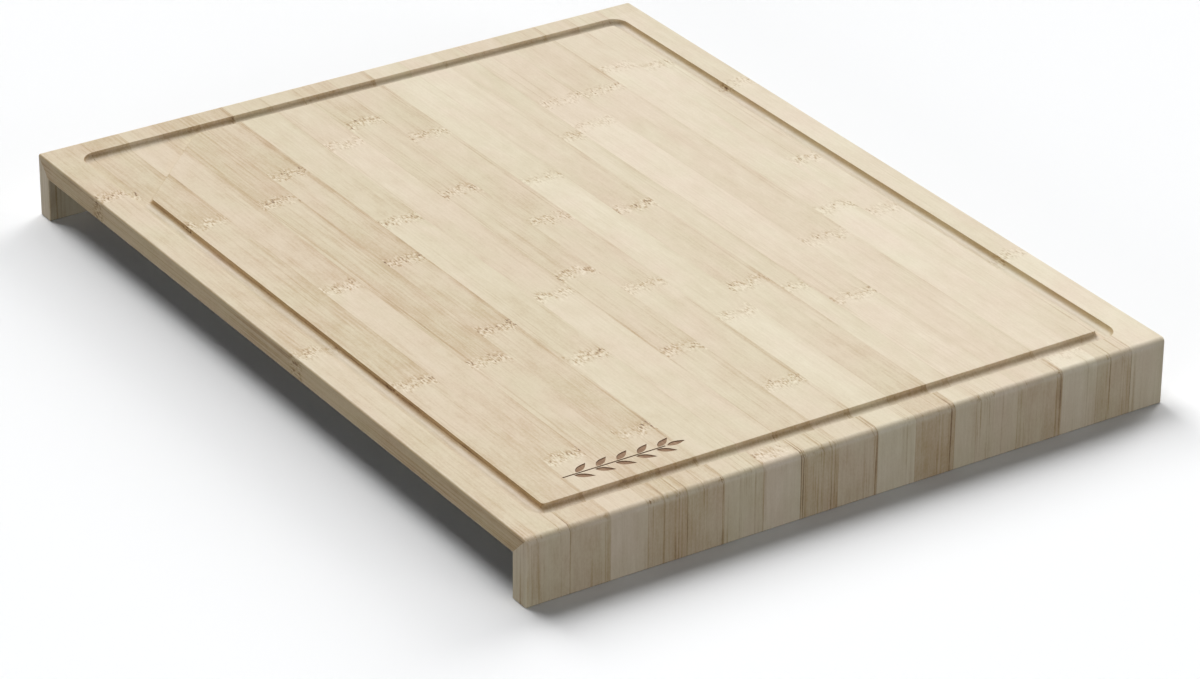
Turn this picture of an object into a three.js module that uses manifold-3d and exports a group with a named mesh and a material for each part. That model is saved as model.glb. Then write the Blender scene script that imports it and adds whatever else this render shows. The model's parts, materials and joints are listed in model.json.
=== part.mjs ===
// A bamboo cutting board with a turned-down lip at each short end, as glued up from its staves.
//
// One panel of edge-glued staves runs the length of the board. At each short end the panel is
// mitred and carries on downwards as a lip, stave by stave, so the grain folds over the edge.
// The two lips stand on the worktop or hook over its front edge. A juice groove runs round the
// cutting face, and opens into a three-cornered pool behind one cut-off corner of the island.
//
// Millimetres. X runs across the staves, +Y along them towards the pool end, +Z up.
// The origin is under the middle of the board, on the surface that the lips stand on.

import * as THREE from 'three';
import { mergeVertices } from 'three/addons/utils/BufferGeometryUtils.js';
import Module from 'manifold-3d';

const manifoldLibrary = await Module();
manifoldLibrary.setup();

// Driving dimensions
const boardLength = 455;
const boardHeight = 34;
const sheetThickness = 11;

const foldRadius = 3.5;
const longEdgeRadius = 1;
const cornerRadius = 2;
const footRadius = 1;

const rimWidth = 15;
const grooveWidth = 8;
const grooveDepth = 3.2;
const grooveCoveWidth = 3.8;
const grooveCoveHeight = 2.9;
const grooveOuterRadius = 8.5;
const islandCornerRadius = 1.5;
const poolReach = 54;
const poolCornerRadius = 4;

const arcSegments = 3;
const cutterClearance = 5;

// Colours of the bamboo, from pale outer wood to the darker, caramelised kind
const bambooColours = {
  pale: 0xe3d3b4,
  natural: 0xdcc7a0,
  honey: 0xd1b88c,
};

// The staves across the board, from -X to +X: width in millimetres and colour.
// The glue-up has one narrow rip and one wide stave among the usual 20 to 22 mm ones.
const staves = [
  { width: 22.5, colour: 'natural' },
  { width: 21, colour: 'natural' },
  { width: 19.5, colour: 'pale' },
  { width: 20.5, colour: 'honey' },
  { width: 19.5, colour: 'honey' },
  { width: 21, colour: 'pale' },
  { width: 20, colour: 'natural' },
  { width: 20.5, colour: 'honey' },
  { width: 21.5, colour: 'natural' },
  { width: 21, colour: 'pale' },
  { width: 22, colour: 'honey' },
  { width: 12, colour: 'natural' },
  { width: 23.5, colour: 'pale' },
  { width: 25.5, colour: 'honey' },
  { width: 20, colour: 'pale' },
  { width: 20, colour: 'natural' },
  { width: 20, colour: 'natural' },
];

// Worked out from the dimensions above
const boardWidth = staves.reduce((sum, stave) => sum + stave.width, 0);
const endY = boardLength / 2;
const sideX = boardWidth / 2;
const undersideZ = boardHeight - sheetThickness;
const grooveFloorZ = boardHeight - grooveDepth;
const quarterTurn = Math.PI / 2;

// Turns an outline drawn in Y and Z, extruded, so that the extrusion runs along +X.
const extrudeAlongX = new THREE.Matrix4().makeBasis(
  new THREE.Vector3(0, 1, 0),
  new THREE.Vector3(0, 0, 1),
  new THREE.Vector3(1, 0, 0),
);

// Turns an outline drawn in X and Z, extruded, so that the extrusion runs along -Y.
const extrudeAlongMinusY = new THREE.Matrix4().makeBasis(
  new THREE.Vector3(1, 0, 0),
  new THREE.Vector3(0, 0, 1),
  new THREE.Vector3(0, -1, 0),
);

function extrusion(outline, depth, options = {}) {
  return new THREE.ExtrudeGeometry(outline, {
    depth,
    bevelEnabled: false,
    curveSegments: arcSegments,
    ...options,
  });
}

// A closed outline through corner points given anticlockwise, each corner rounded to its radius.
function roundedOutline(corners) {
  const outline = new THREE.Shape();
  corners.forEach(({ x, y, radius }, index) => {
    const corner = new THREE.Vector2(x, y);
    const before = corners[(index + corners.length - 1) % corners.length];
    const after = corners[(index + 1) % corners.length];
    const toBefore = new THREE.Vector2(before.x, before.y).sub(corner).normalize();
    const toAfter = new THREE.Vector2(after.x, after.y).sub(corner).normalize();
    const halfAngle = Math.acos(toBefore.dot(toAfter)) / 2;
    const inward = toBefore.clone().add(toAfter).normalize();
    const centre = inward.multiplyScalar(radius / Math.sin(halfAngle)).add(corner);
    const startAngle = Math.atan2(toBefore.x, -toBefore.y);
    const endAngle = Math.atan2(-toAfter.x, toAfter.y);
    if (index === 0) {
      outline.moveTo(
        centre.x + radius * Math.cos(startAngle),
        centre.y + radius * Math.sin(startAngle),
      );
    }
    outline.absarc(centre.x, centre.y, radius, startAngle, endAngle, false);
  });
  outline.closePath();
  return outline;
}

function rectangleCorners(halfX, halfY, radius) {
  return [
    { x: -halfX, y: -halfY, radius },
    { x: halfX, y: -halfY, radius },
    { x: halfX, y: halfY, radius },
    { x: -halfX, y: halfY, radius },
  ];
}

function toSolid(geometry) {
  const bare = geometry.clone();
  bare.deleteAttribute('normal');
  bare.deleteAttribute('uv');
  const merged = mergeVertices(bare, 1e-4);
  return new manifoldLibrary.Manifold(new manifoldLibrary.Mesh({
    numProp: 3,
    vertProperties: Float32Array.from(merged.attributes.position.array),
    triVerts: Uint32Array.from(merged.index.array),
  }));
}

function toGeometry(solid) {
  const { vertProperties, triVerts } = solid.getMesh();
  const geometry = new THREE.BufferGeometry();
  geometry.setAttribute('position', new THREE.BufferAttribute(vertProperties, 3));
  geometry.setIndex(new THREE.BufferAttribute(triVerts, 1));
  geometry.computeVertexNormals();
  return geometry;
}

// A panel stave seen from the side: mitred under the fold at both ends.
function panelProfile() {
  const profile = new THREE.Shape();
  const foldY = endY - foldRadius;
  const foldZ = boardHeight - foldRadius;
  profile.moveTo(-(endY - sheetThickness), undersideZ);
  profile.lineTo(endY - sheetThickness, undersideZ);
  profile.absarc(foldY, foldZ, foldRadius, quarterTurn / 2, quarterTurn, false);
  profile.absarc(-foldY, foldZ, foldRadius, quarterTurn, quarterTurn * 1.5, false);
  profile.closePath();
  return profile;
}

// A lip stave seen from the side. end is -1 for the front lip and +1 for the rear lip.
function lipProfile(end) {
  const profile = new THREE.Shape();
  const clockwise = end > 0;
  const outerY = end * endY;
  const innerY = end * (endY - sheetThickness);
  const outwards = end > 0 ? 0 : Math.PI;
  const halfwayUp = outwards + end * quarterTurn / 2;
  const downwards = outwards - end * quarterTurn;
  const inwards = outwards - end * Math.PI;
  profile.moveTo(innerY, footRadius);
  profile.lineTo(innerY, undersideZ);
  profile.absarc(
    outerY - end * foldRadius, boardHeight - foldRadius, foldRadius, halfwayUp, outwards, clockwise,
  );
  profile.absarc(
    outerY - end * footRadius, footRadius, footRadius, outwards, downwards, clockwise,
  );
  profile.absarc(
    innerY + end * footRadius, footRadius, footRadius, downwards, inwards, clockwise,
  );
  profile.closePath();
  return profile;
}

// The groove and pool as one ring-shaped cutter, with a wide cove rising to each wall.
function grooveCutter() {
  const outerX = sideX - rimWidth;
  const outerY = endY - rimWidth;
  const islandX = outerX - grooveWidth;
  const islandY = outerY - grooveWidth;
  const ring = roundedOutline(rectangleCorners(outerX, outerY, grooveOuterRadius));
  const islandCorners = rectangleCorners(islandX, islandY, islandCornerRadius);
  islandCorners.splice(
    3,
    1,
    { x: poolReach - islandX, y: islandY, radius: poolCornerRadius },
    { x: -islandX, y: islandY - poolReach, radius: poolCornerRadius },
  );
  ring.holes.push(roundedOutline(islandCorners));
  const cutter = extrusion(ring, grooveDepth + cutterClearance, {
    bevelEnabled: true,
    bevelThickness: grooveCoveHeight,
    bevelSize: grooveCoveWidth,
    bevelOffset: -grooveCoveWidth,
    bevelSegments: 4,
  });
  return cutter.translate(0, 0, grooveFloorZ + grooveCoveHeight);
}

// The board's plan with its four upright corners rounded, tall enough to trim any stave.
function planTrimmer() {
  const plan = roundedOutline(rectangleCorners(sideX, endY, cornerRadius));
  return extrusion(plan, boardHeight + 2 * cutterClearance).translate(0, 0, -cutterClearance);
}

// The board seen from a short end, with the two long top edges eased.
function endTrimmer() {
  const corners = [
    { x: -sideX, y: -cutterClearance, radius: longEdgeRadius },
    { x: sideX, y: -cutterClearance, radius: longEdgeRadius },
    { x: sideX, y: boardHeight, radius: longEdgeRadius },
    { x: -sideX, y: boardHeight, radius: longEdgeRadius },
  ];
  return extrusion(roundedOutline(corners), boardLength + 2 * cutterClearance)
    .applyMatrix4(extrudeAlongMinusY)
    .translate(0, endY + cutterClearance, 0);
}

const cutters = {
  groove: grooveCutter(),
  plan: planTrimmer(),
  end: endTrimmer(),
};

// One of the cutters as a solid, moved into the frame of a stave whose left edge is at leftX.
function cutterAt(leftX, name) {
  return toSolid(cutters[name].clone().translate(-leftX, 0, 0));
}

function staveMesh(name, profile, stave, leftX) {
  let solid = toSolid(extrusion(profile, stave.width).applyMatrix4(extrudeAlongX));
  const isPanelStave = name.startsWith('panel');
  const isOutermost = leftX === -sideX || leftX + stave.width === sideX;
  if (isPanelStave) {
    solid = solid.subtract(cutterAt(leftX, 'groove'));
  }
  if (isOutermost) {
    solid = solid.intersect(cutterAt(leftX, 'plan'));
    solid = solid.intersect(cutterAt(leftX, 'end'));
  }
  const material = new THREE.MeshStandardMaterial({
    color: bambooColours[stave.colour],
    roughness: 0.6,
    metalness: 0,
  });
  const mesh = new THREE.Mesh(toGeometry(solid), material);
  mesh.name = name;
  mesh.position.x = leftX;
  return mesh;
}

// One glued-up row of staves: the panel or a lip.
function staveRow(rowName, profile) {
  const row = new THREE.Group();
  let leftX = -sideX;
  staves.forEach((stave, index) => {
    const number = String(index + 1).padStart(2, '0');
    row.add(staveMesh(`${rowName}_stave_${number}`, profile, stave, leftX));
    leftX += stave.width;
  });
  return row;
}

const cuttingBoard = new THREE.Group();
cuttingBoard.add(staveRow('panel', panelProfile()));
cuttingBoard.add(staveRow('front_lip', lipProfile(-1)));
cuttingBoard.add(staveRow('rear_lip', lipProfile(1)));

export default cuttingBoard;
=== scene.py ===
# Looks for the bamboo cutting board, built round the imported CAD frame.
#
# The board is made once, as a folded blank with its edges rounded, its juice groove and pool
# milled and a small leaf sprig engraved. It is then cut into its 51 staves along the glue
# joints and the mitres, so every groove wall and rounded edge runs on from piece to piece.
# Metres, in the CAD frame: X across the staves, +Y along them to the pool end, +Z up.

import json
import math

import bmesh
import bpy
from mathutils import Euler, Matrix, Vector

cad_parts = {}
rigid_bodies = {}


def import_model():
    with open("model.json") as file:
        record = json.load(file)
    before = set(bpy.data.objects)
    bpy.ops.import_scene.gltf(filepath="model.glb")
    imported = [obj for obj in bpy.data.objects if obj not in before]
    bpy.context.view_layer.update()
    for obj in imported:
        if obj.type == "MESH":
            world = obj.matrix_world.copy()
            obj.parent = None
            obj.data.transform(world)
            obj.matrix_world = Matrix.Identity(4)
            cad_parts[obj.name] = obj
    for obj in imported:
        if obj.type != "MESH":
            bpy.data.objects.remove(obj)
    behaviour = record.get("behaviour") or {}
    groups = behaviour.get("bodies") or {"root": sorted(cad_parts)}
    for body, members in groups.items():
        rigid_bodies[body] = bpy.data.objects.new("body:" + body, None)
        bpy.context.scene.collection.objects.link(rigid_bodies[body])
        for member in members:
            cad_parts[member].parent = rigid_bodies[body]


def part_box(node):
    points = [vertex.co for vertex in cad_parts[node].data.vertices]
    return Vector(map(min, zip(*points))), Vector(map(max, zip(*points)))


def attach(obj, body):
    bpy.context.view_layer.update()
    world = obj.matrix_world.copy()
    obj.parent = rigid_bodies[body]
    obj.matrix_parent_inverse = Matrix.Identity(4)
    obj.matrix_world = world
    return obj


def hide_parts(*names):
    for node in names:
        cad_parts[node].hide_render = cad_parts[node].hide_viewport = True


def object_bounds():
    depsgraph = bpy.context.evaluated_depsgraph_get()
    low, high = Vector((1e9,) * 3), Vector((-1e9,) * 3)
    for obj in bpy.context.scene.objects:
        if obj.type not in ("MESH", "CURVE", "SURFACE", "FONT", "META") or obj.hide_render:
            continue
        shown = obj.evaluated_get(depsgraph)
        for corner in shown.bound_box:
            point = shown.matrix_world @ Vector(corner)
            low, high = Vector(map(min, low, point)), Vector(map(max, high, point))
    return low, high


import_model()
cad_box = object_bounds()

MM = 0.001

# Driving dimensions, in metres
SIDE_X, END_Y, TOP_Z = cad_box[1]
SHEET = TOP_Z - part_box("panel_stave_01")[0].z

FOLD_RADIUS = 3.5 * MM
CORNER_RADIUS = 2 * MM
TOP_EDGE_RADIUS = 1 * MM
FOOT_RADIUS = 1 * MM
UNDER_EDGE_RADIUS = 0.6 * MM
BEVEL_SEGMENTS = 11

RIM = 15 * MM
GROOVE_WIDTH = 8 * MM
GROOVE_DEPTH = 3.2 * MM
GROOVE_COVE = 3.8 * MM
GROOVE_EASE = 0.3 * MM
GROOVE_OUTER_RADIUS = 8.5 * MM
ISLAND_CORNER_RADIUS = 1.5 * MM
POOL_REACH = 54 * MM
POOL_CORNER_RADIUS = 4 * MM

SPRIG_DEPTH = 0.35 * MM
SPRIG_CENTRE = Vector((-105 * MM, -189.5 * MM, 0))
CUTTER_CLEARANCE = 5 * MM

# The mesh attribute that says where in its strip each point of a piece lies
GRAIN = "grain"

# Strips of a higher tone than this get darker on the lips, and the others paler
EVEN_TONE = 0.45


class Strip:
    """One strip of bamboo: a panel stave and the two lip staves that it folds into.

    tone runs from 0, pale, to 1, caramel. tint is below 0 for greenish and above 0 for pinkish.
    knuckles are places along the strip, in millimetres from the middle of the board, and bow
    is how far they arch.
    lines are bunches of dark fibres: distance from the left edge, half width, strength.
    left_joint is how dark the glue line on the strip's left edge is.
    """

    def __init__(self, tone, knuckles, tint=0.0, bow=0.0, lines=(), left_joint=0.3):
        self.tone = tone
        self.knuckles = knuckles
        self.tint = tint
        self.bow = bow
        self.lines = lines
        self.left_joint = left_joint


STRIPS = [
    Strip(0.60, [164, -30], lines=[(6, 4, 0.4)]),
    Strip(0.68, [113, -80], left_joint=1.0, lines=[(18, 3, 0.5)]),
    Strip(0.28, [20, -174], tint=0.6, left_joint=0.5),
    Strip(0.80, [115, -79], lines=[(2, 2.5, 1.0), (9, 3, 0.5), (16, 4, 0.6)]),
    Strip(0.75, [139, 28, -55, -170], left_joint=0.8, lines=[(9, 3, 0.4), (18, 2.5, 1.0)]),
    Strip(0.38, [66, -100], tint=-0.8, left_joint=0.5),
    Strip(0.45, [154, -40, -220], tint=0.3, lines=[(1, 2, 0.7)]),
    Strip(0.78, [172, 80, -25, -115], bow=3.0, lines=[(1, 3, 0.9), (9, 4, 0.6), (17, 3, 0.6)]),
    Strip(0.55, [141, 29, -54, -168], lines=[(20, 2.5, 0.9)]),
    Strip(0.10, [68, -101], tint=-0.7, left_joint=0.5),
    Strip(0.55, [18, -79], lines=[(20, 3, 0.6)]),
    Strip(0.45, [101, -94], tint=-0.2),
    Strip(0.25, [140, 108, -115], tint=0.5, lines=[(1.5, 2, 1.0), (5.5, 1.5, 0.9), (10, 1.5, 0.9)]),
    Strip(0.75, [140, -58], tint=0.3, lines=[(23.5, 2.5, 0.9)]),
    Strip(0.45, [160, -34, -214]),
    Strip(0.38, [150, 18, -48], lines=[(7, 2, 1.0), (15, 1.5, 1.2), (19, 1.5, 1.0)]),
    Strip(0.40, [110, -121], tint=-0.2, lines=[(2, 2, 0.6)]),
]


# ---------------------------------------------------------------- meshes and cutting


def new_object(name, mesh):
    made = bpy.data.objects.new(name, mesh)
    bpy.context.scene.collection.objects.link(made)
    return made


def shape_from(name, bm):
    bmesh.ops.recalc_face_normals(bm, faces=bm.faces)
    mesh = bpy.data.meshes.new(name)
    bm.to_mesh(mesh)
    bm.free()
    return new_object(name, mesh)


def applied(thing):
    """Turns an object's modifiers into its mesh."""
    bpy.context.view_layer.update()
    evaluated = thing.evaluated_get(bpy.context.evaluated_depsgraph_get())
    mesh = bpy.data.meshes.new_from_object(evaluated)
    thing.modifiers.clear()
    thing.data = mesh
    return thing


def cut(thing, operation, cutter):
    """Subtracts a cutter from an object, or keeps only what they share."""
    boolean = thing.modifiers.new("cut", "BOOLEAN")
    boolean.operation = operation
    boolean.object = cutter
    boolean.solver = "MANIFOLD"
    boolean.material_mode = "TRANSFER"
    return applied(thing)


def prism(name, outline, first_x, last_x):
    """An outline drawn in Y and Z, swept along X."""
    bm = bmesh.new()
    join_loops(bm, [[bm.verts.new((x, y, z)) for y, z in outline] for x in (first_x, last_x)])
    return shape_from(name, bm)


def join_loops(bm, loops):
    """Skins a stack of loops that have the same number of points, and closes both ends."""
    for lower, upper in zip(loops, loops[1:]):
        for index in range(len(lower)):
            after = (index + 1) % len(lower)
            bm.faces.new((lower[index], lower[after], upper[after], upper[index]))
    bm.faces.new(list(reversed(loops[0])))
    bm.faces.new(loops[-1])


def rounded_loop(corners, offset, arc_segments=10):
    """Points along a rounded outline, moved outwards by offset. Corners are (x, y, radius)."""
    points = []
    for index, (x, y, radius) in enumerate(corners):
        corner = Vector((x, y))
        before = Vector(corners[index - 1][:2]) - corner
        after = Vector(corners[(index + 1) % len(corners)][:2]) - corner
        before.normalize()
        after.normalize()
        half_angle = before.angle(after) / 2
        centre = corner + (before + after).normalized() * radius / math.sin(half_angle)
        first = math.atan2(before.x, -before.y)
        turn = (math.atan2(-after.x, after.y) - first) % math.tau
        for step in range(arc_segments + 1):
            angle = first + turn * step / arc_segments
            reach = radius + offset
            points.append((centre.x + reach * math.cos(angle), centre.y + reach * math.sin(angle)))
    return points


def rectangle(half_x, half_y, radius):
    return [
        (-half_x, -half_y, radius),
        (half_x, -half_y, radius),
        (half_x, half_y, radius),
        (-half_x, half_y, radius),
    ]


def groove_heights(outwards):
    """(offset, height) up a groove wall: the wide cove, and the eased edge above it."""
    floor = TOP_Z - GROOVE_DEPTH
    cove_height = GROOVE_DEPTH - GROOVE_EASE
    steps = 10
    rows = []
    for step in range(steps + 1):
        angle = math.pi / 2 * step / steps
        offset = GROOVE_COVE * (1 - math.sin(angle))
        rows.append((-outwards * offset, floor + cove_height * (1 - math.cos(angle))))
    for step in range(1, steps + 1):
        angle = math.pi / 2 * step / steps
        offset = GROOVE_EASE * (1 - math.cos(angle))
        height = TOP_Z - GROOVE_EASE * (1 - math.sin(angle))
        rows.append((outwards * offset, height))
    return rows


def loft(name, corners, rows):
    bm = bmesh.new()
    loops = []
    for offset, height in rows:
        loop = [bm.verts.new((x, y, height)) for x, y in rounded_loop(corners, offset)]
        loops.append(loop)
    join_loops(bm, loops)
    return shape_from(name, bm)


# ---------------------------------------------------------------- the board in one piece


def folded_blank():
    """The panel and its two lips as one folded sheet, with every outer edge rounded."""
    inner_y = END_Y - SHEET
    under_z = TOP_Z - SHEET
    profile = [
        (-END_Y, 0),
        (-inner_y, 0),
        (-inner_y, under_z),
        (inner_y, under_z),
        (inner_y, 0),
        (END_Y, 0),
        (END_Y, TOP_Z),
        (-END_Y, TOP_Z),
    ]
    blank = prism("blank", profile, -SIDE_X, SIDE_X)
    round_edges(blank)
    return blank


def edge_radius(start, end):
    """The radius to give an edge of the blank, from where it runs."""
    middle = (start + end) / 2
    direction = (end - start).normalized()
    at_end = math.isclose(abs(middle.y), END_Y, abs_tol=1e-5)
    at_top = math.isclose(middle.z, TOP_Z, abs_tol=1e-5)
    at_foot = math.isclose(middle.z, 0, abs_tol=1e-5)
    if abs(direction.x) > 0.5:
        if at_top:
            return FOLD_RADIUS
        return FOOT_RADIUS if at_foot else 0
    if abs(direction.z) > 0.5:
        return CORNER_RADIUS if at_end else UNDER_EDGE_RADIUS
    return TOP_EDGE_RADIUS if at_top else UNDER_EDGE_RADIUS


def round_edges(blank):
    mesh = blank.data
    weights = mesh.attributes.new("bevel_weight_edge", "FLOAT", "EDGE")
    for edge in mesh.edges:
        start, end = (mesh.vertices[index].co for index in edge.vertices)
        weights.data[edge.index].value = edge_radius(start, end) / FOLD_RADIUS
    bevel = blank.modifiers.new("round", "BEVEL")
    bevel.limit_method = "WEIGHT"
    bevel.width = FOLD_RADIUS
    bevel.segments = BEVEL_SEGMENTS
    applied(blank)


def mill_groove(board):
    """Cuts the ring-shaped groove and the pool, leaving the island with one corner cut off."""
    outer_x = SIDE_X - RIM
    outer_y = END_Y - RIM
    island_x = outer_x - GROOVE_WIDTH
    island_y = outer_y - GROOVE_WIDTH
    above = TOP_Z + CUTTER_CLEARANCE

    outer_rows = groove_heights(1)
    outer_rows.append((outer_rows[-1][0], above))
    tray = loft("tray", rectangle(outer_x, outer_y, GROOVE_OUTER_RADIUS), outer_rows)

    island = rectangle(island_x, island_y, ISLAND_CORNER_RADIUS)
    island[3:] = [
        (POOL_REACH - island_x, island_y, POOL_CORNER_RADIUS),
        (-island_x, island_y - POOL_REACH, POOL_CORNER_RADIUS),
    ]
    island_rows = groove_heights(-1)
    island_rows.insert(0, (island_rows[0][0], TOP_Z - GROOVE_DEPTH - CUTTER_CLEARANCE))
    island_rows.append((island_rows[-1][0], above + CUTTER_CLEARANCE))
    cut(tray, "DIFFERENCE", loft("island", island, island_rows))
    cut(board, "DIFFERENCE", tray)


def leaf_outline(base, angle, length, width):
    """A slender pointed leaf that starts at base and points along angle."""
    along = Vector((math.cos(angle), math.sin(angle)))
    aside = Vector((-along.y, along.x))
    steps = 9
    edge = []
    for step in range(1, steps):
        share = step / steps
        swell = math.sin(math.pi * share ** 0.8) * width / 2
        edge.append((share * length, swell))
    ahead = [base + along * far + aside * swell for far, swell in edge]
    back = [base + along * far - aside * swell for far, swell in reversed(edge)]
    return [base, *back[::-1], base + along * length, *ahead[::-1]]


def sprig_outlines():
    """A straight stem with pointed leaves in pairs and one at its tip, none touching another."""
    stem_half_length = 27 * MM
    stem_half_width = 0.4 * MM
    leaf_length = 9.5 * MM
    leaf_width = 3.4 * MM
    leaf_gap = 0.9 * MM
    leaf_pairs = 5
    stem = [
        SPRIG_CENTRE.xy + Vector((sign_x * stem_half_length, sign_y * stem_half_width))
        for sign_x, sign_y in ((-1, -1), (1, -1), (1, 1), (-1, 1))
    ]
    outlines = [stem]
    for pair in range(leaf_pairs):
        x = -stem_half_length + (pair + 0.6) * 2 * stem_half_length / leaf_pairs
        for side in (-1, 1):
            base = SPRIG_CENTRE.xy + Vector((x + side * MM, side * leaf_gap))
            outlines.append(leaf_outline(base, side * math.radians(32), leaf_length, leaf_width))
    tip = SPRIG_CENTRE.xy + Vector((stem_half_length + leaf_gap, 0))
    outlines.append(leaf_outline(tip, 0, leaf_length, leaf_width))
    return outlines


def engrave(board, scorched):
    """Burns a generic leaf sprig into the island, where boards usually carry a mark."""
    bm = bmesh.new()
    for outline in sprig_outlines():
        loops = []
        for height in (TOP_Z - SPRIG_DEPTH, TOP_Z + CUTTER_CLEARANCE):
            loops.append([bm.verts.new((point.x, point.y, height)) for point in outline])
        join_loops(bm, loops)
    burner = shape_from("burner", bm)
    board.data.materials.append(None)
    burner.data.materials.append(scorched)
    cut(board, "DIFFERENCE", burner)


# ---------------------------------------------------------------- the staves


def panel_region():
    """The panel between its two mitres, seen from the side."""
    low_z = TOP_Z - SHEET - CUTTER_CLEARANCE
    high_z = TOP_Z + CUTTER_CLEARANCE
    low_y = END_Y - (TOP_Z - low_z)
    high_y = END_Y + CUTTER_CLEARANCE
    return [(-low_y, low_z), (low_y, low_z), (high_y, high_z), (-high_y, high_z)]


def lip_region(end):
    """A lip below its mitre, seen from the side."""
    low_z = -CUTTER_CLEARANCE
    high_z = TOP_Z + CUTTER_CLEARANCE
    outer_y = END_Y + CUTTER_CLEARANCE
    corners = [(END_Y - (TOP_Z - low_z), low_z), (outer_y, low_z), (outer_y, high_z)]
    return [(end * y, z) for y, z in corners]


def add_grain(mesh, row, middle_x):
    """Stores where each point lies in its strip, in millimetres: across it, along it, how deep.

    The strip folds over the mitre, so a lip's points count on from the end of the panel.
    """
    grain = mesh.attributes.new(GRAIN, "FLOAT_VECTOR", "POINT")
    for vertex in mesh.vertices:
        x, y, z = vertex.co
        if row == "panel":
            along, deep = y, TOP_Z - z
        else:
            end = -1 if row == "front_lip" else 1
            along, deep = end * (END_Y + TOP_Z - z), END_Y - end * y
        grain.data[vertex.index].vector = Vector((x - middle_x, along, deep)) / MM


def smooth_shade(piece):
    piece.data.shade_smooth()
    piece.data.set_sharp_from_angle(angle=math.radians(32))
    normals = piece.modifiers.new("normals", "WEIGHTED_NORMAL")
    normals.keep_sharp = True
    normals.weight = 90


def stave(board, row, number, region, material):
    """Cuts one stave out of the board, where the CAD has that stave."""
    node = f"{row}_stave_{number:02d}"
    low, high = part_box(node)
    piece = new_object(f"{row}_bamboo_{number:02d}", board.data.copy())
    cell = prism("cell", region, low.x, high.x)
    cut(piece, "INTERSECT", cell)
    bpy.data.objects.remove(cell)
    add_grain(piece.data, row, (low.x + high.x) / 2)
    piece.data.materials[0] = material
    smooth_shade(piece)
    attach(piece, "root")
    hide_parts(node)


# ---------------------------------------------------------------- materials


class Nodes:
    """Adds nodes to one material. Any value may be a number or another node's output."""

    def __init__(self, name):
        self.material = bpy.data.materials.new(name)
        self.material.use_nodes = True
        self.tree = self.material.node_tree
        self.shader = self.tree.nodes["Principled BSDF"]

    def set_input(self, socket, value):
        if isinstance(value, bpy.types.NodeSocket):
            self.tree.links.new(value, socket)
        else:
            socket.default_value = value

    def add(self, kind, inputs, **settings):
        node = self.tree.nodes.new("ShaderNode" + kind)
        for name, value in settings.items():
            setattr(node, name, value)
        for key, value in inputs.items():
            self.set_input(node.inputs[key], value)
        return node

    def math(self, operation, *values):
        return self.add("Math", dict(enumerate(values)), operation=operation).outputs[0]

    def total(self, *values):
        result = values[0]
        for value in values[1:]:
            result = self.math("ADD", result, value)
        return result

    def slope(self, value, start, end, low=0.0, high=1.0):
        """low where value is at start, high where it is at end, with a smooth change between."""
        inputs = {0: value, 1: start, 2: end, 3: low, 4: high}
        return self.add("MapRange", inputs, interpolation_type="SMOOTHSTEP").outputs[0]

    def centred(self, value, strength):
        """A noise value turned into a change around 0."""
        return self.math("MULTIPLY", self.math("SUBTRACT", value, 0.5), strength)

    def noise(self, vector, size, detail=2.0, roughness=0.5):
        """Noise whose spots are about size millimetres across, along and deep."""
        per_mm = tuple(1 / s for s in size)
        scaled = self.add("VectorMath", {0: vector, 1: per_mm}, operation="MULTIPLY")
        inputs = {"Vector": scaled.outputs[0], "Detail": detail, "Roughness": roughness}
        return self.add("TexNoise", {**inputs, "Scale": 1.0}).outputs["Fac"]

    def ramp(self, value, *stops):
        node = self.add("ValToRGB", {0: value})
        elements = node.color_ramp.elements
        while len(elements) < len(stops):
            elements.new(0.5)
        for element, (place, colour) in zip(elements, stops):
            element.position = place
            element.color = colour
        return node.outputs[0]

    def blend(self, mode, factor, first, second):
        inputs = {0: factor, 6: first, 7: second}
        node = self.add("Mix", inputs, data_type="RGBA", blend_type=mode)
        return node.outputs[2]


def srgb(red, green, blue):
    """A colour given in the usual 0 to 255 values, as the linear one that shaders use."""
    channels = []
    for value in (red, green, blue):
        share = value / 255
        channels.append(share / 12.92 if share <= 0.04045 else ((share + 0.055) / 1.055) ** 2.4)
    return (*channels, 1.0)


CREAM = srgb(222, 209, 187)
NATURAL = srgb(206, 190, 163)
CARAMEL = srgb(182, 156, 120)
BROWN = srgb(106, 75, 45)
SIDE_GRAIN = srgb(246, 238, 219)
PINKISH = srgb(255, 252, 252)
GREENISH = srgb(253, 255, 251)


def knuckle_marks(nodes, strip, grain, across, along):
    """Two outputs: how near the closest knuckle is, and the tone's steps from one to the next.

    Each knuckle is uneven: it wanders, fades in places, and leaves the wood past it darker.
    """
    wander = nodes.noise(grain, (4, 400, 30), detail=3, roughness=0.6)
    bowed = nodes.math("MULTIPLY", nodes.math("MULTIPLY", across, across), strip.bow / 100)
    place = nodes.total(along, nodes.centred(wander, 12.0), bowed)
    nearest = 1000.0
    passed = 0.0
    for knuckle in strip.knuckles:
        distance = nodes.math("SUBTRACT", place, float(knuckle))
        nearest = nodes.math("MINIMUM", nearest, nodes.math("ABSOLUTE", distance))
        passed = nodes.total(passed, nodes.slope(distance, -1.5, 1.5))
    presence = nodes.slope(nodes.noise(grain, (4, 9, 9), detail=1), 0.35, 0.55, 0.35, 1.0)
    band = nodes.math("MULTIPLY", nodes.slope(nearest, 8.0, 1.5), presence)
    return band, passed


def fibre_lines(nodes, strip, half_width, grain, across, streak):
    """Dark bundles of fibres, some at random and some where this strip shows them."""
    bunches = nodes.noise(grain, (5, 160, 9), detail=1)
    bunched = nodes.slope(bunches, 0.50, 0.72, 0.0, 0.5)
    for offset, reach, strength in strip.lines:
        away = nodes.math("ABSOLUTE", nodes.math("SUBTRACT", across, offset - half_width))
        here = nodes.slope(away, reach, 0.0, 0.0, strength)
        bunched = nodes.math("MAXIMUM", bunched, here)
    return nodes.math("MULTIPLY", nodes.slope(streak, 0.46, 0.64), bunched)


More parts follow.
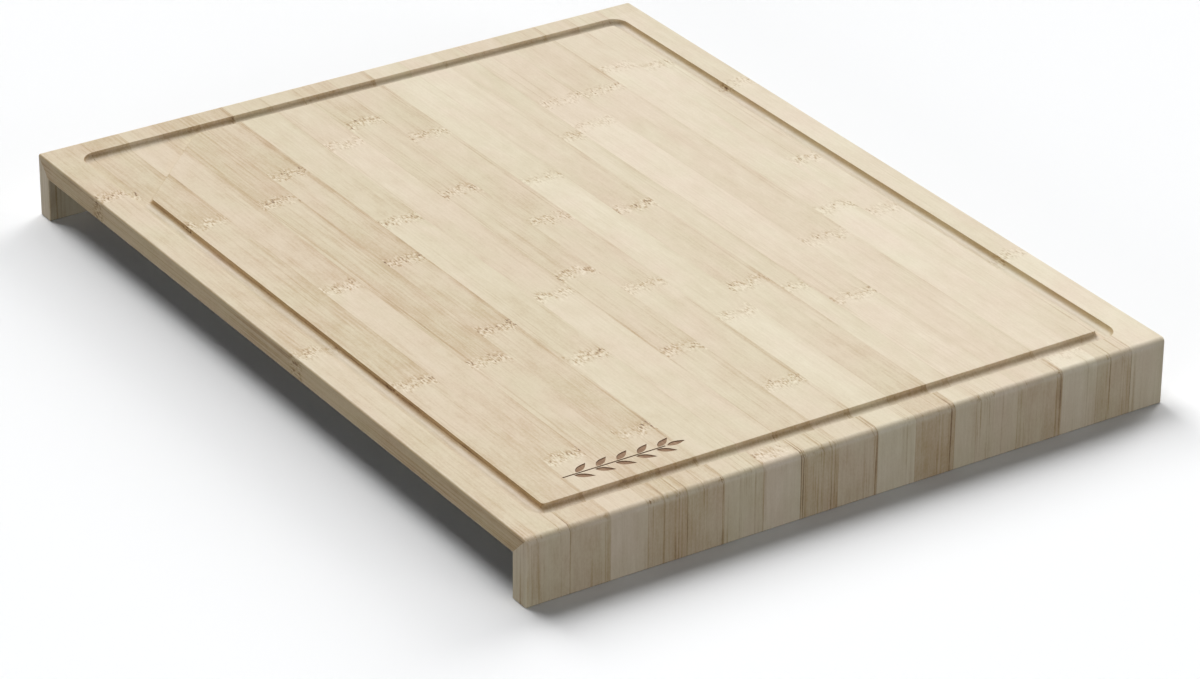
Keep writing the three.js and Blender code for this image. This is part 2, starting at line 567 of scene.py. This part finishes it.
def glue_joints(nodes, strip, half_width, across, streak):
    """The joints along both edges of a strip, a little broken up."""
    at_left = nodes.slope(across, -half_width + 0.55, -half_width + 0.05, 0.0, strip.left_joint)
    at_right = nodes.slope(across, half_width - 0.4, half_width, 0.0, 0.4)
    joint = nodes.math("MAXIMUM", at_left, at_right)
    return nodes.math("MULTIPLY", joint, nodes.slope(streak, 0.25, 0.6, 0.4, 1.0))


def bamboo(strip, number, left_x, right_x):
    """The bamboo of one strip, in the grain coordinates stored on its pieces."""
    nodes = Nodes(f"bamboo_{number:02d}")
    half_width = (right_x - left_x) / 2 / MM
    middle_x = (right_x + left_x) / 2 / MM
    stored = nodes.add("Attribute", {}, attribute_name=GRAIN).outputs["Vector"]
    split = nodes.add("SeparateXYZ", {0: stored}).outputs
    across, along, deep = split[0], split[1], split[2]

    # Every strip gets its own stretch of the noise
    shift = (number * 43.0, number * 317.0, number * 29.0)
    grain = nodes.add("VectorMath", {0: stored, 1: shift}, operation="ADD").outputs[0]

    cloud = nodes.noise(grain, (11, 75, 11), detail=2)
    hue_cloud = nodes.noise(grain, (16, 38, 16), detail=1)
    mottle = nodes.noise(grain, (8, 14, 8), detail=2)
    speckle = nodes.noise(grain, (0.8, 1.6, 0.8), detail=1)
    streak = nodes.noise(grain, (1.1, 85, 1.3), detail=3, roughness=0.6)
    dash = nodes.noise(grain, (1.3, 13, 1.3), detail=2, roughness=0.6)
    fibre = nodes.noise(grain, (0.32, 24, 0.32), detail=2, roughness=0.6)
    fleck = nodes.noise(grain, (0.9, 2.4, 0.9), detail=1)

    # The tone steps up at each knuckle, and runs down again before the next
    band, passed = knuckle_marks(nodes, strip, grain, across, along)
    internode = (max(strip.knuckles) - min(strip.knuckles)) / (len(strip.knuckles) - 1)
    run_down = nodes.math("DIVIDE", along, -internode)
    start = -sum(1 for knuckle in strip.knuckles if knuckle < 0)
    steps = nodes.total(passed, run_down, float(start) - 0.5)

    # The cutting face is painted paler from left to right, a painted light standing in for stronger
    # light from the right,
    #  and the lips don't get it. Dark lines are strong on the lips and along the front rim, and
    #  weaker elsewhere.
    painted_light_gradient = 0.12 * (number / 9 - 1)
    from_middle = nodes.math("ABSOLUTE", along)
    end = END_Y / MM
    lip = nodes.slope(from_middle, end - 2.0, end + 5.0)
    kept = nodes.math("MAXIMUM", lip, nodes.slope(along, 22.0 - end, 4.0 - end, 0.35, 1.0))

    line = fibre_lines(nodes, strip, half_width, grain, across, streak)
    joint = glue_joints(nodes, strip, half_width, across, streak)

    # Stretches of a strip's right edge are darker
    right_edge = nodes.slope(across, half_width - 4.0, half_width)
    patchy = nodes.slope(nodes.noise(grain, (20, 60, 20), detail=1), 0.40, 0.62)
    shaded_edge = nodes.math("MULTIPLY", right_edge, patchy)

    # Long dark threads run along the left side face of a strip, below its top edge
    thread = nodes.slope(nodes.noise(grain, (30, 120, 0.9), detail=2), 0.50, 0.66)
    on_side = nodes.slope(across, -half_width + 0.7, -half_width + 0.2)
    below_edge = nodes.slope(deep, 0.8, 1.6)
    thread = nodes.math("MULTIPLY", nodes.math("MULTIPLY", thread, on_side), below_edge)

    # The folded edges are painted paler, partly as handling wear and partly as a painted highlight
    # along the fold, and are a little smoother
    from_fold = nodes.math("ABSOLUTE", nodes.math("SUBTRACT", from_middle, end + 1.0))
    wear_and_highlight = nodes.math("MULTIPLY", nodes.slope(from_fold, 4.0, 1.0), nodes.slope(cloud, 0.3, 0.7))

    # Painted shade on the sloping walls of the groove and pool, darkest on the walls
    #  that face sideways
    normal = nodes.add("NewGeometry", {}).outputs["True Normal"]
    facing = nodes.add("SeparateXYZ", {0: normal}).outputs
    off_centre = nodes.math("ABSOLUTE", nodes.math("ADD", across, middle_x))
    from_side = nodes.math("SUBTRACT", SIDE_X / MM, off_centre)
    from_end = nodes.math("SUBTRACT", end, from_middle)
    inland = nodes.slope(nodes.math("MINIMUM", from_side, from_end), 9.0, 12.0)
    side_face = nodes.slope(nodes.math("ABSOLUTE", facing[0]), 0.35, 0.95)
    wall = nodes.math("MULTIPLY", nodes.slope(facing[2], 0.98, 0.70), inland)
    painted_groove_shade = nodes.math("MULTIPLY", wall, nodes.slope(side_face, 0.0, 1.0, 1.0, 1.5))

    # The rear rim and lip are a little darker, and the side faces of both lips are painted paler, a
    # painted light
    rear = nodes.slope(along, end - 16.0, end - 12.0)
    painted_light_lip_sides = nodes.math("MULTIPLY", side_face, lip)

    flecks = nodes.math("MULTIPLY", nodes.centred(fleck, 2.1), band)
    tone = nodes.total(
        0.20 + 0.26 * strip.tone - painted_light_gradient,
        nodes.math("MULTIPLY", lip, 0.20 * (strip.tone - EVEN_TONE) + painted_light_gradient),
        nodes.centred(cloud, 0.22),
        nodes.centred(mottle, 0.26),
        nodes.centred(streak, 0.22),
        nodes.centred(fibre, 0.16),
        nodes.centred(speckle, 0.20),
        nodes.centred(dash, 0.24),
        nodes.math("MULTIPLY", steps, 0.13),
        nodes.math("MULTIPLY", band, 0.06),
        flecks,
        nodes.math("MULTIPLY", nodes.math("MULTIPLY", line, kept), 0.50),
        nodes.math("MULTIPLY", nodes.math("MULTIPLY", joint, kept), 0.45),
        nodes.math("MULTIPLY", shaded_edge, 0.14),
        nodes.math("MULTIPLY", thread, 0.22),
        nodes.math("MULTIPLY", wear_and_highlight, -0.14),
        nodes.math("MULTIPLY", painted_groove_shade, 0.17),
        nodes.math("MULTIPLY", rear, 0.07),
        nodes.math("MULTIPLY", painted_light_lip_sides, -0.28),
    )
    wood = nodes.ramp(tone, (0.0, CREAM), (0.35, NATURAL), (0.65, CARAMEL), (1.0, BROWN))
    hue = nodes.ramp(nodes.total(hue_cloud, strip.tint * 0.22), (0.3, GREENISH), (0.7, PINKISH))
    wood = nodes.blend("MULTIPLY", 1.0, wood, hue)

    # Surfaces cut along the side of a strip drink more oil, and turn a deeper gold
    side_grain = nodes.math("MULTIPLY", side_face, nodes.slope(lip, 0.0, 1.0, 1.0, 0.2))
    wood = nodes.blend("MULTIPLY", side_grain, wood, SIDE_GRAIN)

    roughness = nodes.total(
        0.50,
        nodes.centred(streak, 0.16),
        nodes.centred(fibre, 0.10),
        nodes.math("MULTIPLY", band, 0.10),
        nodes.math("MULTIPLY", wear_and_highlight, -0.08),
    )
    relief = nodes.total(
        nodes.centred(fibre, 0.030),
        nodes.centred(streak, 0.030),
        nodes.centred(speckle, 0.012),
        nodes.math("MULTIPLY", flecks, -0.022),
        nodes.math("MULTIPLY", joint, -0.020),
    )
    bump = nodes.add("Bump", {"Height": relief, "Distance": MM, "Strength": 1.0})
    nodes.set_input(nodes.shader.inputs["Base Color"], wood)
    nodes.set_input(nodes.shader.inputs["Roughness"], roughness)
    nodes.set_input(nodes.shader.inputs["Normal"], bump.outputs[0])
    return nodes.material


def scorched_bamboo():
    """Bamboo browned by the branding tool, unevenly along its fibres."""
    nodes = Nodes("scorched_bamboo")
    grain = nodes.add("Attribute", {}, attribute_name=GRAIN).outputs["Vector"]
    streak = nodes.noise(grain, (0.7, 9, 1), detail=3, roughness=0.6)
    patch = nodes.noise(grain, (6, 8, 6), detail=2)
    char = nodes.total(nodes.math("MULTIPLY", streak, 0.6), nodes.math("MULTIPLY", patch, 0.4))
    light, middle, dark = srgb(158, 128, 98), srgb(134, 102, 74), srgb(102, 74, 50)
    brown = nodes.ramp(char, (0.30, light), (0.55, middle), (0.80, dark))
    relief = nodes.centred(streak, 0.06)
    bump = nodes.add("Bump", {"Height": relief, "Distance": MM, "Strength": 1.0})
    nodes.set_input(nodes.shader.inputs["Base Color"], brown)
    nodes.set_input(nodes.shader.inputs["Roughness"], nodes.total(0.62, nodes.centred(streak, 0.2)))
    nodes.set_input(nodes.shader.inputs["Normal"], bump.outputs[0])
    nodes.shader.inputs["Specular IOR Level"].default_value = 0.25
    return nodes.material


def floor_material():
    """Matt white paper."""
    nodes = Nodes("white_floor")
    nodes.shader.inputs["Base Color"].default_value = (0.88, 0.88, 0.88, 1.0)
    nodes.shader.inputs["Roughness"].default_value = 0.9
    nodes.shader.inputs["Specular IOR Level"].default_value = 0.0
    return nodes.material


# ---------------------------------------------------------------- the set


def floor():
    half = 10.0
    mesh = bpy.data.meshes.new("floor")
    corners = [(-half, -half, 0), (half, -half, 0), (half, half, 0), (-half, half, 0)]
    mesh.from_pydata(corners, [], [(0, 1, 2, 3)])
    mesh.materials.append(floor_material())
    made = new_object("floor", mesh)
    made.location.z = -0.1 * MM
    made.visible_diffuse = False


def soft_sun(name, sideways, height, spread, strength):
    """A distant softbox, placed by two angles in degrees.

    height carries it from the rear at 0, over the top at 90, to the front at 180, and sideways
    leans it towards +X. spread is how wide it looks from the board.
    """
    lamp = bpy.data.lights.new(name, "SUN")
    lamp.angle = math.radians(spread)
    lamp.energy = strength
    lean = math.radians(sideways)
    rise = math.radians(height)
    towards = Vector((
        math.sin(lean),
        math.cos(lean) * math.cos(rise),
        math.cos(lean) * math.sin(rise),
    ))
    made = new_object(name, lamp)
    made.rotation_euler = towards.to_track_quat("Z", "Y").to_euler()


def lights():
    """Softboxes behind the board and to its right, and two low fills in front of it."""
    soft_sun("softbox", -4, 61, 30, 1.60)
    soft_sun("softbox_wing", 27, 59, 30, 0.65)
    soft_sun("softbox_right", 54, 50, 30, 1.40)
    soft_sun("softbox_low", 0, 37, 25, 1.09)
    soft_sun("fill_front", 25, 172, 30, 0.78)
    soft_sun("fill_left", -60, 172, 30, 1.25)
    world = bpy.data.worlds.new("studio")
    world.use_nodes = True
    background = world.node_tree.nodes["Background"]
    background.inputs["Color"].default_value = (0.74, 0.86, 1.0, 1.0)
    background.inputs["Strength"].default_value = 0.06
    bpy.context.scene.world = world
    bpy.context.scene.view_settings.view_transform = "Standard"


def camera():
    """Looks over the near left corner, from the front left, through a long lens."""
    azimuth = math.radians(-33.208)
    elevation = math.radians(27.74)
    roll = math.radians(0.4725)
    distance = 2.2526
    target = Vector((-0.0474, -0.0892, TOP_Z))
    back = Vector((
        math.sin(azimuth) * math.cos(elevation),
        -math.cos(azimuth) * math.cos(elevation),
        math.sin(elevation),
    ))
    lens = bpy.data.cameras.new("camera")
    lens.lens = 146.55
    lens.sensor_width = 36
    made = new_object("camera", lens)
    made.location = target + back * distance
    turn = back.to_track_quat("Z", "Y") @ Euler((0, 0, roll)).to_quaternion()
    made.rotation_euler = turn.to_euler()
    bpy.context.scene.camera = made


# ---------------------------------------------------------------- build


def main():
    board = folded_blank()
    mill_groove(board)
    engrave(board, scorched_bamboo())
    regions = {"panel": panel_region(), "front_lip": lip_region(-1), "rear_lip": lip_region(1)}
    for number, strip in enumerate(STRIPS, start=1):
        low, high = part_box(f"panel_stave_{number:02d}")
        material = bamboo(strip, number, low.x, high.x)
        for row, region in regions.items():
            stave(board, row, number, region, material)
    for scrap in [o for o in bpy.data.objects if o.name in ("blank", "tray", "island", "burner")]:
        bpy.data.objects.remove(scrap)
    floor()
    lights()
    camera()


main()
